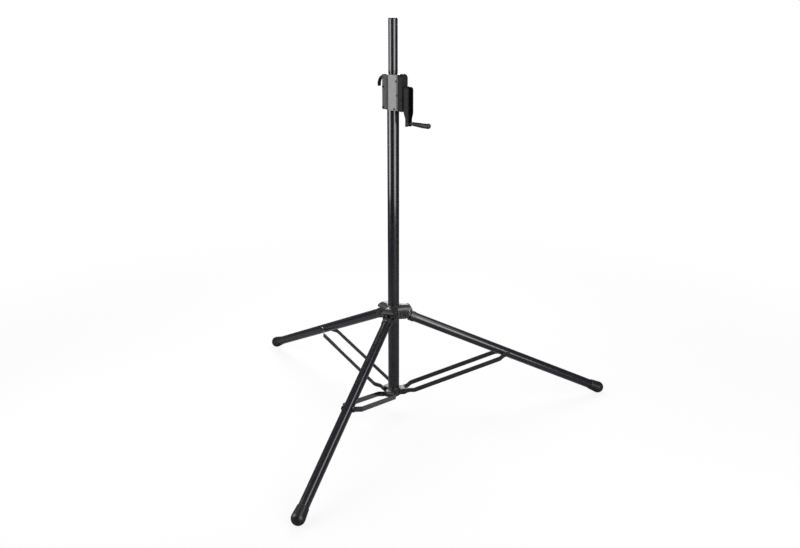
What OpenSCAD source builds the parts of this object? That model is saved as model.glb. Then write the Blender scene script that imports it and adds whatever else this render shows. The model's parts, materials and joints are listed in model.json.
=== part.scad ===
// Crank lighting stand: a folding tripod base, a column with a winding head, and a mast raised by the crank.
// The floor is z = 0, +X is the side of the crank, and the footprint is centred on the origin.

/* [Mast and column] */
// Outer diameter of the mast, the spigot that takes a fitting
mast_d = 35; // [34:0.5:36]
// Wall of the mast tube
mast_wall = 2; // [1.5:0.1:3]
// Height of the mast's top when it is wound down
mast_top = 1561; // [1500:1:1700]
// Gap between mast and column, where the cable runs
mast_gap = 3.2; // [3:0.1:4]
// Wall of the column tube
column_wall = 1.8; // [1.5:0.1:2.5]
// Height of the column's lower end
column_foot = 66; // [60:1:80]
// Diameter of the lifting cable
cable_d = 2; // [1.6:0.1:2.2]

/* [Head] */
// Height of the top of the head
head_top = 1361; // [1300:1:1400]
// Height of the head housing
head_h = 131; // [125:1:150]
// Wall of the round part of the housing around the column
collar_wall = 2.2; // [2:0.1:5]
// Half the width of the housing on the crank side
block_half = 17; // [16.5:0.5:19]
// Angle at which the housing's sides close in from the collar to the crank side
block_taper = 15; // [10:1:18]
// Reach of the clamping flange behind the mast
flange_reach = 50; // [46:1:56]
// Half the width of the clamping flange
flange_half = 12; // [11:0.5:14]
// Half the width of the gearbox cover
cover_half = 15.2; // [15.2:0.2:18]
// Depth of the gearbox cover along the crank's axis
cover_depth = 22.3; // [20:0.1:28]
// Outer radius of the lock lever's hook
lever_r = 36; // [30:1:42]
// Width of the lock lever
lever_w = 14; // [10:0.5:16]

/* [Drive] */
// Radius at which the cable lies on the drum
drum_r = 11; // [10:0.5:12]
// Width of the cable drum
drum_w = 15; // [12:0.5:18]
// Teeth on the crank's pinion
pinion_teeth = 11; // [11:1:12]
// Teeth on the drum's gear
gear_teeth = 22; // [20:1:22]
// Face width of both gears
gear_w = 7.5; // [5:0.5:8]
// Distance of the crank's axis below the top of the head
crank_drop = 58; // [54:1:64]

/* [Crank] */
// Distance from the crank's axis to the grip's fold pin
crank_radius = 114; // [105:1:125]
// Width of the crank arm's channel
arm_w = 26.8; // [26.6:0.2:32]
// Depth of the crank arm's channel
arm_depth = 24.2; // [22:0.2:28]
// Wall of the crank arm
arm_wall = 2.2; // [1.5:0.1:2.4]
// Largest diameter of the grip
grip_d = 20.6; // [17:0.2:21]
// Reach of the grip from its fold pin
grip_reach = 116; // [100:1:118]

/* [Legs] */
// Outer diameter of a leg tube
leg_d = 38; // [34:0.5:40]
// Wall of a leg tube
leg_wall = 2; // [1.5:0.1:3]
// Length of a leg from its hub pivot to the centre of its foot
leg_length = 943.5; // [870:0.5:1020]
// Slope of a leg below the horizontal
leg_slope = 24.9; // [22:0.1:28]
// Distance of the leg pivots from the mast's axis
pivot_r = 41; // [41:0.5:48]
// Diameter of the leg pivot bolts
pivot_bolt_d = 10; // [8:0.5:12]
// Radius of the round nose on the hub's hoods
hood_nose_r = 31; // [28:0.5:34]
// Wall of the hub's hoods
hood_wall = 4; // [3:0.5:5]
// Diameter of a foot cap
foot_d = 49; // [46:0.5:56]
// Length of a foot cap along its leg
foot_length = 66; // [50:1:80]
// Depth of the flat worn under a foot
foot_flat = 1; // [0.5:0.1:2]

/* [Braces] */
// Distance along a leg from its hub pivot to the brace's rivet
brace_seat = 482.5; // [430:0.5:530]
// Distance of the collar pivots from the mast's axis
collar_pivot_r = 40; // [38:0.5:48]
// Width of a brace bar
brace_w = 19.5; // [14:0.5:24]
// Thickness of a brace bar
brace_t = 3; // [2:0.5:4]
// Outward bow of a brace bar halfway along
brace_bow = 17; // [10:0.5:22]
// Diameter of the brace pivots
brace_pin_d = 8; // [6:0.5:10]

/* [Hidden] */
$fn = 64;
sides = ["left", "right", "rear"];
azimuths = [60, -60, 180];

// Clearances: pieces that turn or slide on each other, pieces that pass, and pieces of one body that seat
running = 0.06;
passing = 0.3;
seat = 0.02;
eps = 0.01;
// How far a cut runs past the face that it opens
over = 1;

// Mast and column
mast_r = mast_d / 2;
column_in = mast_r + mast_gap;
column_r = column_in + column_wall;
column_end_drop = 43;
column_top = head_top - column_end_drop;
mast_foot_rise = 58;
mast_bottom = column_foot + mast_foot_rise;
cap_t = 3;
cap_step = 0.2;
cap_plug_h = 17;
plug_h = 12;
plug_spigot_h = 30;
end_plug_h = 30;
end_plug_lip = 4;
ring_h = 2.4;
ring_depth = 0.5;
ring_out = 0.9;
stop_screw_r = 4.5;
stop_shank_r = 2.5;
stop_head_h = 2.8;
stop_rest_gap = 0.4;
stop_past_wall = 1;
stop_z = head_top + stop_rest_gap + stop_screw_r;
ring_lift = 1;
ring_z = stop_z + stop_screw_r + ring_lift;

// Drum, gears and crank shaft along the crank's axis
gear_m = 1;
addendum = 0.8;
dedendum = 1.1;
backlash = 0.14;
pressure = 20;
pinion_r = gear_m * pinion_teeth / 2;
gear_r = gear_m * gear_teeth / 2;
crank_z = head_top - crank_drop;
drum_z = crank_z - pinion_r - gear_r;
drum_gap = 2.5;
drum_x = column_r + drum_gap;
drum_flange_t = 1.5;
drum_flange_r = drum_r + 3;
drum_core_r = drum_r - 3.5;
drum_hub_r = 6.5;
drum_end_wall = 1.4;
drum_room = 1;
drum_back_room = 0.8;
axle_r = 3.5;
axle_end_gap = 0.6;
axle_seat = 5;
plate_gap = 1.3;
plate_x = drum_x + drum_w + plate_gap;
plate_t = 5;
cover_x = plate_x + plate_t;
cover_front = cover_x + cover_depth;
gear_gap = 1.2;
gear_x = cover_x + gear_gap;
gear_room = 0.8;
pinion_room = 1.2;
flank_steps = 4;
shaft_r = 4;
shaft_end_gap = 0.6;
bush_r = 6.5;
bush_l = 8;
shoulder_r = 9;
arm_gap = 7.1;
arm_x = cover_front + arm_gap;

// Cable, from the drum over the pulley and down between mast and column
cable_r = cable_d / 2;
cable_wall_gap = 0.12;
cable_rho = column_in - cable_r - cable_wall_gap;
cable_y = drum_r;
cable_x = sqrt(cable_rho * cable_rho - cable_y * cable_y);
lead_x = drum_x + drum_w / 2;
pulley_r = (lead_x - cable_x) / 2;
pulley_x = (lead_x + cable_x) / 2;
pulley_drop = 30;
pulley_z = head_top - pulley_drop;
pulley_half = 1.7;
pulley_rim = 0.8;
pulley_room = 3.2;
pulley_axle_r = 2.5;
pulley_axle_in = 8;
lead_room = 1;
bush_h = 16;
bush_z = head_top - bush_h;
plug_cable_gap = 0.09;
ferrule_h = 9;
ferrule_wall = 1.2;
ferrule_in = 1.6;

// Housing, flange and lock lever
head_z = head_top - head_h;
collar_r = column_r + collar_wall;
taper_x = collar_r * sin(block_taper);
taper_y = collar_r * cos(block_taper);
taper_end = taper_x + (taper_y - block_half) / tan(block_taper);
slit = 2;
flange_bolt_r = 3;
flange_head_r = 4.5;
flange_head_h = 3;
flange_bolt_inset = 6;
flange_bolt_x = -flange_reach + flange_bolt_inset;
flange_bolt_high = 48;
flange_bolt_low = 7;
flange_bolt_heights = [head_top - flange_bolt_high, head_z + flange_bolt_low];
housing_screw_r = 4;
housing_screw_h = 1.6;
housing_screw_drop = 24;
housing_screw_inset = 6;
lever_pin_r = 3;
lever_pin_past = 1;
lever_inset = 6.5;
lever_drop = 11;
lever_x = -flange_reach + lever_inset;
lever_z = head_top - lever_drop;
lever_t = 4.5;
lever_eye = 6;
lever_tail = 5;
lever_tip_step = 0.3;
lever_room = 3;
hook_inset = 2;
cam_lift = 1;
cam_room = 1.6;
plunger_r = 4;

// Gearbox cover
cover_lip = 1;
cover_base = head_z - cover_lip;
cover_arch_drop = 11;
cover_arch_z = head_top - cover_arch_drop;
cover_chamfer = 2.6;
gear_end_room = 1.8;
cover_cavity = gear_gap + gear_w + gear_end_room;
cover_foot_h = 42;
cover_foot_step = 3.8;
cover_foot_half = cover_half + cover_foot_step;
cover_foot_depth = 13.7;
cover_foot_past = 3.4;
cover_foot_front = cover_front + cover_foot_past;
cover_screw_r = 2.6;
cover_screw_h = 1.2;
cover_screw_inset = 6;

// Crank arm and grip
grip_room = 0.6;
grip_eye = 5.8;
grip_eye_half = 7.2;
grip_x = arm_x + arm_wall + grip_d / 2 + grip_room;
grip_z = crank_z - crank_radius;
arm_head = 18;
arm_toe = 13;
arm_top = crank_z + arm_head;
arm_bottom = grip_z - arm_toe;
arm_front = arm_x + arm_depth;
arm_round = 12;
arm_corner = 6;
fork_front_step = 3;
fork_front = arm_front - fork_front_step;
fork_back_step = grip_d / 2 + grip_room - grip_eye - passing;
fork_back = arm_x + fork_back_step;
fork_toe_cut = 5;
fork_rise = 16;
fork_z = grip_z + fork_rise;
neck_rise = 36;
neck_z = grip_z + neck_rise;
crank_screw_head_r = 3.2;
crank_screw_r = 2.2;
crank_screw_depth = 12;
fork_half = grip_eye_half + 2 * passing + arm_wall;
grip_pin_r = 2.5;
grip_pin_head = 1.7;
grip_pin_head_h = 1.8;
grip_shank_r = 5;
grip_root = 26;
spindle_r = 4;
spindle_end_gap = 1;
grip_root_r = 7.7;
grip_swell = 75;
grip_cap_l = 14;
grip_edge = 0.6;
grip_dome = 8;

// Legs and hub
leg_r = leg_d / 2;
foot_r = foot_d / 2;
foot_z = foot_r - foot_flat;
pivot_z = foot_z + leg_length * sin(leg_slope);
foot_reach = pivot_r + leg_length * cos(leg_slope);
leg_start = 30;
leg_foot_gap = 8;
leg_end = leg_length - leg_foot_gap;
knuckle_r = 14.5;
knuckle_step = 0.5;
knuckle_shoulder = 3;
knuckle_wall = 2.5;
knuckle_lap = 19;
pivot_bolt_r = pivot_bolt_d / 2;
pivot_bolt_head = 3.5;
pivot_bolt_head_h = 3;
hood_room = 1;
hood_in = leg_r + hood_room;
hood_out = hood_in + hood_wall;
cheek_r = 18.5;
cheek_boss = 1.5;
cheek_recess_r = 13;
sleeve_bush_t = 1.3;
sleeve_in = column_r + running + sleeve_bush_t;
sleeve_wall = 1.9;
sleeve_r = sleeve_in + sleeve_wall;
sleeve_below = 21;
sleeve_above = 39;
sleeve_bottom = pivot_z - sleeve_below;
sleeve_top = pivot_z + sleeve_above;
hood_flat = 4;
hood_end = 21;
hood_nose_x = pivot_r + hood_flat;
hood_far = 4 * hood_nose_r;
vault_z = sleeve_top - hood_out;
hood_floor = sleeve_bottom - cheek_r;
sleeve_rim = 1;
sleeve_rim_h = 8;
clamp_azimuth = 120;
clamp_drop = 7;
clamp_z = pivot_z - clamp_drop;
clamp_boss_r = 9;
clamp_boss_l = 18;
clamp_boss_reach = sleeve_r + clamp_boss_l;
clamp_screw_r = 4;
knob_r = 14;
knob_h = 18;
knob_gap = 2;
knob_lobes = 6;
knob_scallop_r = 6;
knob_scallop_out = 3;
knob_end_wall = 4;
foot_wall = 2.2;
foot_bevel = 0.7;

// Braces and lower collar
collar_in = column_r + seat;
lower_wall = 5;
lower_r = column_r + lower_wall;
lower_h = 34;
lug_r = 13;
collar_pivot_rise = 16;
collar_pivot_z = column_foot + collar_pivot_rise;
seat_r = pivot_r + brace_seat * cos(leg_slope);
seat_z = pivot_z - brace_seat * sin(leg_slope);
brace_length = norm([seat_r - collar_pivot_r, seat_z - collar_pivot_z]);
brace_rise = atan2(seat_z - collar_pivot_z, seat_r - collar_pivot_r);
brace_in = leg_r + 2 * passing;
brace_pin_r = brace_pin_d / 2;
brace_flat = 15;
brace_ramp = 30;
lug_half = brace_in - passing;
pivot_head_r = 7;
pivot_head_h = 3;

// The mast stands this far in front of the footprint's middle
rear_reach = foot_reach + foot_r;
front_reach = foot_reach * cos(azimuths[0]) + foot_r;
mast_x = (rear_reach - front_reach) / 2;

// Placement: the mast's axis, a leg's own direction, a leg's own line from its pivot, and a brace's own line
module on_mast() { translate([mast_x, 0, 0]) children(); }
module toward(azimuth) { on_mast() rotate([0, 0, azimuth]) children(); }
module leg_line(azimuth) {
  toward(azimuth) translate([pivot_r, 0, pivot_z]) rotate([0, leg_slope, 0]) children();
}
module brace_line(azimuth) {
  toward(azimuth) translate([collar_pivot_r, 0, collar_pivot_z]) rotate([0, -brace_rise, 0]) children();
}

// Round bars along X and across Y, a ball with poles on X, and an outline in X and Z given its width along Y
module bar_x(r, x0, x1) { translate([x0, 0, 0]) rotate([0, 90, 0]) cylinder(r = r, h = x1 - x0); }
module bar_y(r, y0, y1) { translate([0, y1, 0]) rotate([90, 0, 0]) cylinder(r = r, h = y1 - y0); }
module ball_x(r, turn) { rotate([0, turn, 0]) sphere(r = r); }
module across(half) { translate([0, half, 0]) rotate([90, 0, 0]) linear_extrude(2 * half) children(); }
module tube(r_out, r_in, z0, z1) {
  difference() {
    translate([0, 0, z0]) cylinder(r = r_out, h = z1 - z0);
    translate([0, 0, z0 - over]) cylinder(r = r_in, h = z1 - z0 + 2 * over);
  }
}
function arc(x, y, r, from, to, steps) =
  [for (i = [0 : steps]) let (a = from + (to - from) * i / steps) [x + r * cos(a), y + r * sin(a)]];

// Involute gear outline: polar angle of the flank at radius r, from the tooth's centre line
function involute(r, base) = r > base ? sqrt(r * r / base / base - 1) * 180 / PI - acos(base / r) : 0;
function flank_angle(r, pitch, base) =
  (PI * gear_m / 4 - backlash / 2) / pitch * 180 / PI + involute(pitch, base) - involute(r, base);
function gear_outline(teeth, first) =
  let (pitch = gear_m * teeth / 2, base = pitch * cos(pressure))
  let (root = pitch - dedendum, tip = pitch + addendum)
  let (foot = max(root, base), last = flank_steps + 1)
  let (radii = [root, for (i = [0 : flank_steps]) foot + (tip - foot) * i / flank_steps])
  [for (t = [0 : teeth - 1], side = [-1, 1], i = [0 : last])
    let (r = radii[side < 0 ? i : last - i], a = first + t * 360 / teeth + side * flank_angle(r, pitch, base))
    [r * cos(a), r * sin(a)]];
module gear_x(teeth, first, x0, bore) {
  translate([x0, 0, 0]) rotate([90, 0, 90]) difference() {
    linear_extrude(gear_w) polygon(gear_outline(teeth, first));
    translate([0, 0, -over]) cylinder(r = bore, h = gear_w + 2 * over);
  }
}

// Column
module main_tube() {
  color("#17181a") on_mast() tube(column_r, column_in, column_foot, column_top);
}
module tube_end_plug() {
  color("#101010") on_mast() {
    translate([0, 0, column_foot - end_plug_lip]) cylinder(r = column_r, h = end_plug_lip);
    translate([0, 0, column_foot - eps]) cylinder(r = column_in - seat, h = end_plug_h);
  }
}

// Lower collar: a ring with three forked lugs that carry the braces
module lug_outline() {
  translate([collar_pivot_r, collar_pivot_z]) circle(r = lug_r);
  translate([collar_in, collar_pivot_z - lug_r]) square([collar_pivot_r - collar_in, 2 * lug_r]);
}
module lower_collar() {
  color("#1a1b1d") difference() {
    union() {
      on_mast() translate([0, 0, column_foot]) cylinder(r = lower_r, h = lower_h);
      for (azimuth = azimuths) toward(azimuth) across(lug_half) lug_outline();
    }
    on_mast() translate([0, 0, column_foot - lower_h]) cylinder(r = collar_in, h = 3 * lower_h);
    for (azimuth = azimuths) toward(azimuth) translate([collar_pivot_r, 0, collar_pivot_z])
      bar_y(brace_pin_r + seat, -2 * lug_half, 2 * lug_half);
  }
}
module collar_pivot_bolts() {
  reach = brace_in + brace_t + passing;
  color("#2a2b2e") for (azimuth = azimuths) toward(azimuth) translate([collar_pivot_r, 0, collar_pivot_z]) {
    bar_y(brace_pin_r, -reach - pivot_head_h, reach + pivot_head_h);
    for (side = [-1, 1]) translate([0, side * (reach + pivot_head_h / 2), 0])
      bar_y(pivot_head_r, -pivot_head_h / 2, pivot_head_h / 2);
  }
}

// Head housing: a collar on the column, a flange with a clamping slit, and a tapering block round the drum
module housing_block() {
  linear_extrude(head_h) polygon([
    [0, -block_half], [taper_x, -taper_y], [taper_end, -block_half], [plate_x, -block_half],
    [plate_x, block_half], [taper_end, block_half], [taper_x, taper_y], [0, block_half]]);
}
module head_housing() {
  color("#8f9194") on_mast() difference() {
    union() {
      translate([0, 0, head_z]) cylinder(r = collar_r, h = head_h);
      translate([0, 0, head_z]) housing_block();
      translate([-flange_reach, -flange_half, head_z]) cube([flange_reach, 2 * flange_half, head_h]);
    }
    translate([0, 0, head_z - over]) cylinder(r = column_r + seat, h = column_top - head_z + over);
    translate([0, 0, column_top - over]) cylinder(r = column_in, h = head_top - column_top + 2 * over);
    translate([-flange_reach - over, -slit / 2, head_z - over])
      cube([flange_reach, slit, head_h + 2 * over]);
    translate([-flange_reach - over, -lever_w / 2 - passing, lever_z - lever_eye - lever_room])
      cube([over + lever_inset + lever_eye + cam_lift + cam_room, lever_w + 2 * passing, head_h]);
    translate([lever_x, 0, lever_z]) bar_y(lever_pin_r + seat, -2 * flange_half, 2 * flange_half);
    translate([0, 0, lever_z]) bar_x(plunger_r + running, lever_x, 0);
    translate([0, 0, drum_z]) bar_x(drum_flange_r + drum_room, drum_x - drum_back_room, plate_x + over);
    translate([lead_x, cable_y, drum_z]) cylinder(r = cable_r + lead_room, h = pulley_z - drum_z);
    translate([cable_x - cable_r, cable_y - pulley_half - passing, pulley_z - pulley_r - pulley_room])
      cube([lead_x - cable_x + cable_r + pulley_room, 2 * (pulley_half + passing),
            2 * (pulley_r + pulley_room)]);
    translate([pulley_x, 0, pulley_z])
      bar_y(pulley_axle_r + seat, cable_y - pulley_axle_in - seat, collar_r);
    for (z = flange_bolt_heights) translate([flange_bolt_x, 0, z])
      bar_y(flange_bolt_r + seat, -2 * flange_half, 2 * flange_half);
  }
}
module flange_bolts() {
  color("#202124") on_mast() for (z = flange_bolt_heights) translate([flange_bolt_x, 0, z]) {
    bar_y(flange_bolt_r, -flange_half - flange_head_h / 2, flange_half + flange_head_h / 2);
    for (side = [-1, 1]) translate([0, side * (flange_half + flange_head_h / 2), 0])
      bar_y(flange_head_r, -flange_head_h / 2, flange_head_h / 2);
  }
}
module housing_screws() {
  color("#202124") on_mast() {
    for (spot = [[taper_end + housing_screw_r, head_top - housing_screw_drop], [plate_x, drum_z]])
      translate([spot[0], -block_half, spot[1]]) bar_y(housing_screw_r, -housing_screw_h, 0);
    translate([taper_x, -taper_y, head_z + housing_screw_inset]) rotate([0, 0, block_taper])
      translate([taper_end - taper_x - housing_screw_r, 0, 0]) bar_y(housing_screw_r, -housing_screw_h, 0);
  }
}
module bearing_plate() {
  color("#8f9194") on_mast() difference() {
    translate([plate_x, -block_half, head_z]) cube([plate_t, 2 * block_half, head_h]);
    translate([0, 0, drum_z]) bar_x(drum_hub_r + running, plate_x - over, cover_x + over);
    translate([0, 0, crank_z]) bar_x(shaft_r + running, plate_x - over, cover_x + over);
  }
}
module top_bush() {
  color("#1c1c1c") on_mast() difference() {
    tube(column_in - seat, mast_r + running, bush_z, head_top);
    translate([0, 0, lever_z]) bar_x(plunger_r + passing, -2 * column_in, 0);
  }
}
module lever_pin() {
  color("#202124") on_mast() translate([lever_x, 0, lever_z])
    bar_y(lever_pin_r, -flange_half - lever_pin_past, flange_half + lever_pin_past);
}

// Gearbox cover: a tall narrow case with an arched top, chamfered in front, and a wider foot
module cover_plan() {
  polygon([[cover_x, -cover_half], [cover_front - cover_chamfer, -cover_half],
           [cover_front, cover_chamfer - cover_half], [cover_front, cover_half - cover_chamfer],
           [cover_front - cover_chamfer, cover_half], [cover_x, cover_half]]);
}
module gearbox_cover() {
  color("#141517") on_mast() difference() {
    union() {
      translate([0, 0, cover_base]) linear_extrude(cover_arch_z - cover_base) cover_plan();
      translate([0, 0, cover_arch_z]) bar_x(cover_half, cover_x, cover_front - cover_chamfer);
      translate([cover_front - cover_chamfer, 0, cover_arch_z]) rotate([0, 90, 0])
        cylinder(r1 = cover_half, r2 = cover_half - cover_chamfer, h = cover_chamfer);
      translate([cover_foot_front - cover_foot_depth, -cover_foot_half, cover_base])
        cube([cover_foot_depth, 2 * cover_foot_half, cover_foot_h]);
    }
    translate([0, 0, drum_z]) bar_x(gear_r + addendum + gear_room, cover_x - over, cover_x + cover_cavity);
    translate([0, 0, crank_z])
      bar_x(pinion_r + addendum + pinion_room, cover_x - over, cover_x + cover_cavity);
    translate([0, 0, crank_z]) bar_x(bush_r + seat, cover_x, cover_front + over);
    translate([0, 0, drum_z]) bar_x(axle_r + seat, cover_x, cover_x + cover_cavity + axle_seat);
  }
}
module cover_screws() {
  y = cover_half - cover_screw_inset;
  color("#2a2b2e") on_mast() for (side = [-1, 1]) {
    translate([cover_front, side * y, cover_arch_z]) bar_x(cover_screw_r, 0, cover_screw_h);
    translate([cover_foot_front, side * y, cover_base + cover_screw_inset])
      bar_x(cover_screw_r, 0, cover_screw_h);
  }
}

// Crank shaft, its bush and the drive to the drum
module shaft_bush() {
  color("#b08d4c") on_mast() translate([cover_front - bush_l, 0, crank_z]) rotate([0, 90, 0])
    tube(bush_r, shaft_r + running, 0, bush_l);
}
module crank_shaft() {
  color("#6d6f72") on_mast() translate([0, 0, crank_z]) difference() {
    union() {
      bar_x(shaft_r, plate_x + shaft_end_gap, arm_x);
      bar_x(shoulder_r, cover_front + passing, arm_x);
    }
    bar_x(crank_screw_r + seat, arm_x - crank_screw_depth - seat, arm_x + over);
  }
}
module drive_pinion() {
  color("#9a9c9f") on_mast() translate([0, 0, crank_z]) gear_x(pinion_teeth, -90, gear_x, shaft_r + seat);
}
module drum_gear() {
  color("#9a9c9f") on_mast() translate([0, 0, drum_z])
    gear_x(gear_teeth, 90 + 180 / gear_teeth, gear_x, drum_hub_r + seat);
}
module drum_axle() {
  color("#6d6f72") on_mast() translate([0, 0, drum_z])
    bar_x(axle_r, drum_x + drum_end_wall + axle_end_gap, cover_x + cover_cavity + axle_seat);
}
module cable_drum() {
  color("#83858a") on_mast() translate([0, 0, drum_z]) difference() {
    union() {
      bar_x(drum_flange_r, drum_x, drum_x + drum_flange_t);
      bar_x(drum_core_r, drum_x, drum_x + drum_w);
      bar_x(drum_flange_r, drum_x + drum_w - drum_flange_t, drum_x + drum_w);
      bar_x(drum_hub_r, drum_x + drum_w, gear_x + gear_w);
    }
    bar_x(axle_r + running, drum_x + drum_end_wall, gear_x + gear_w + over);
  }
}
module drum_winding() {
  color("#54565a") on_mast() translate([drum_x + drum_flange_t, 0, drum_z]) rotate([0, 90, 0])
    tube(drum_r - cable_r - passing, drum_core_r + seat, 0, drum_w - 2 * drum_flange_t);
}

// Cable and pulley
module cable_pulley() {
  groove = cable_r + passing;
  rim = pulley_r + pulley_rim;
  color("#3a3b3e") on_mast() translate([pulley_x, cable_y, pulley_z]) rotate([90, 0, 0]) rotate_extrude()
    polygon([[pulley_axle_r + running, -pulley_half], [rim, -pulley_half], [rim, -groove],
             [pulley_r - groove, -groove], [pulley_r - groove, groove], [rim, groove], [rim, pulley_half],
             [pulley_axle_r + running, pulley_half]]);
}
module pulley_axle() {
  color("#6d6f72") on_mast() translate([pulley_x, 0, pulley_z])
    bar_y(pulley_axle_r, cable_y - pulley_axle_in, block_half);
}
module lift_cable() {
  foot = mast_bottom - plug_h;
  color("#54565a") on_mast() translate([cable_x, cable_y, foot]) cylinder(r = cable_r, h = pulley_z - foot);
}
module cable_lead() {
  color("#54565a") on_mast() {
    translate([lead_x, cable_y, drum_z]) cylinder(r = cable_r, h = pulley_z - drum_z);
    translate([pulley_x, cable_y, pulley_z]) rotate([90, 0, 0]) rotate_extrude(angle = 180)
      translate([pulley_r, 0]) circle(r = cable_r);
  }
}

// Mast
module mast_tube() {
  color("#17181a") on_mast() difference() {
    tube(mast_r, mast_r - mast_wall, mast_bottom, mast_top - cap_t);
    tube(mast_r + over, mast_r - ring_depth, ring_z, ring_z + ring_h);
    translate([0, 0, stop_z]) bar_y(stop_shank_r + seat, -2 * mast_r, 0);
  }
}
module mast_cap() {
  color("#101010") on_mast() {
    translate([0, 0, mast_top - cap_t]) cylinder(r = mast_r - cap_step, h = cap_t);
    translate([0, 0, mast_top - cap_t - cap_plug_h])
      cylinder(r = mast_r - mast_wall - seat, h = cap_plug_h + eps);
  }
}
module mast_plug() {
  color("#d8d6cf") on_mast() difference() {
    union() {
      translate([0, 0, mast_bottom - plug_h]) cylinder(r = column_in - running, h = plug_h);
      translate([0, 0, mast_bottom - eps]) cylinder(r = mast_r - mast_wall - seat, h = plug_spigot_h);
    }
    translate([cable_x, cable_y, mast_bottom - plug_h - over])
      cylinder(r = cable_r + plug_cable_gap, h = plug_h + 2 * over);
  }
}
module cable_ferrule() {
  inward = 1 - ferrule_in / cable_rho;
  color("#9a9c9f") on_mast() translate([cable_x * inward, cable_y * inward, mast_bottom - plug_h - ferrule_h])
    cylinder(r = cable_r + ferrule_wall, h = ferrule_h);
}
module seat_ring() {
  color("#2a2b2e") on_mast() tube(mast_r + ring_out, mast_r - ring_depth + seat, ring_z, ring_z + ring_h);
}
module stop_screw() {
  color("#202124") on_mast() translate([0, -mast_r, stop_z]) {
    bar_y(stop_screw_r, -stop_head_h, 0);
    bar_y(stop_shank_r, -eps, mast_wall + stop_past_wall);
  }
}

// Crank arm: a deep channel that narrows to a fork, and takes the folded grip
module arm_side() {
  polygon([
    [fork_back, arm_bottom], [fork_front - fork_toe_cut, arm_bottom], [fork_front, arm_bottom + fork_toe_cut],
    [fork_front, fork_z], [arm_front, neck_z], [arm_front, arm_top - arm_round],
    [arm_front - arm_round, arm_top], [arm_x, arm_top], [arm_x, neck_z], [fork_back, fork_z]]);
  translate([arm_front - arm_round, arm_top - arm_round]) circle(r = arm_round);
}
module arm_front_view() {
  half = arm_w / 2;
  polygon([
    [-fork_half, arm_bottom], [fork_half, arm_bottom], [fork_half, fork_z], [half, neck_z],
    [half, arm_top - arm_corner], [half - arm_corner, arm_top], [arm_corner - half, arm_top],
    [-half, arm_top - arm_corner], [-half, neck_z], [-fork_half, fork_z]]);
  for (side = [-1, 1]) translate([side * (half - arm_corner), arm_top - arm_corner]) circle(r = arm_corner);
}
module arm_channel() {
  half = arm_w / 2 - arm_wall;
  fork = fork_half - arm_wall;
  back = arm_x + arm_wall;
  low = arm_bottom - over;
  high = arm_top + over;
  intersection() {
    across(arm_w) polygon([
      [fork_back + arm_wall, low], [arm_front + over, low], [arm_front + over, high], [back, high],
      [back, neck_z], [fork_back + arm_wall, fork_z]]);
    rotate([90, 0, 90]) linear_extrude(arm_front + 2 * over) polygon([
      [-fork, low], [fork, low], [fork, fork_z], [half, neck_z], [half, high], [-half, high], [-half, neck_z],
      [-fork, fork_z]]);
  }
}
module crank_arm() {
  color("#141517") on_mast() difference() {
    intersection() {
      across(arm_w) arm_side();
      rotate([90, 0, 90]) linear_extrude(arm_front + over) arm_front_view();
    }
    arm_channel();
    translate([0, 0, crank_z]) bar_x(crank_screw_head_r + seat, arm_x - over, arm_x + arm_wall + over);
    translate([grip_x, 0, grip_z]) bar_y(grip_pin_r + seat, -arm_w, arm_w);
  }
}
module crank_screw() {
  color("#3a3b3e") on_mast() translate([0, 0, crank_z]) {
    bar_x(crank_screw_head_r, arm_x, arm_x + arm_wall);
    bar_x(crank_screw_r, arm_x - crank_screw_depth, arm_x + eps);
  }
}
module grip_pin() {
  color("#6d6f72") on_mast() translate([grip_x, 0, grip_z]) {
    bar_y(grip_pin_r, -fork_half - grip_pin_head_h / 2, fork_half + grip_pin_head_h / 2);
    for (side = [-1, 1]) translate([0, side * (fork_half + grip_pin_head_h / 2), 0])
      bar_y(grip_pin_r + grip_pin_head, -grip_pin_head_h / 2, grip_pin_head_h / 2);
  }
}
module grip_spindle() {
  color("#2a2b2e") on_mast() translate([grip_x, 0, grip_z]) difference() {
    union() {
      bar_y(grip_eye, -grip_eye_half, grip_eye_half);
      bar_x(grip_shank_r, 0, grip_root - passing);
      bar_x(spindle_r, 0, grip_reach - grip_cap_l - spindle_end_gap);
    }
    bar_y(grip_pin_r + running, -2 * grip_eye_half, 2 * grip_eye_half);
  }
}
module grip_sleeve() {
  r = grip_d / 2;
  end = grip_reach - grip_cap_l;
  color("#1b1c1e") on_mast() translate([grip_x, 0, grip_z]) rotate([0, 90, 0]) rotate_extrude()
    polygon([[spindle_r + running, grip_root], [grip_root_r - grip_edge, grip_root],
             [grip_root_r, grip_root + grip_edge], [r, grip_swell], [r, end - grip_edge],
             [r - grip_edge, end], [spindle_r + running, end]]);
}
module grip_end_cap() {
  r = grip_d / 2;
  end = grip_reach - grip_cap_l;
  color("#101010") on_mast() translate([grip_x, 0, grip_z]) rotate([0, 90, 0]) rotate_extrude()
    polygon(concat([[0, end], [r - grip_edge, end], [r, end + grip_edge]],
                   arc(r - grip_dome, grip_reach - grip_dome, grip_dome, 0, 90, 12), [[0, grip_reach]]));
}

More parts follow.
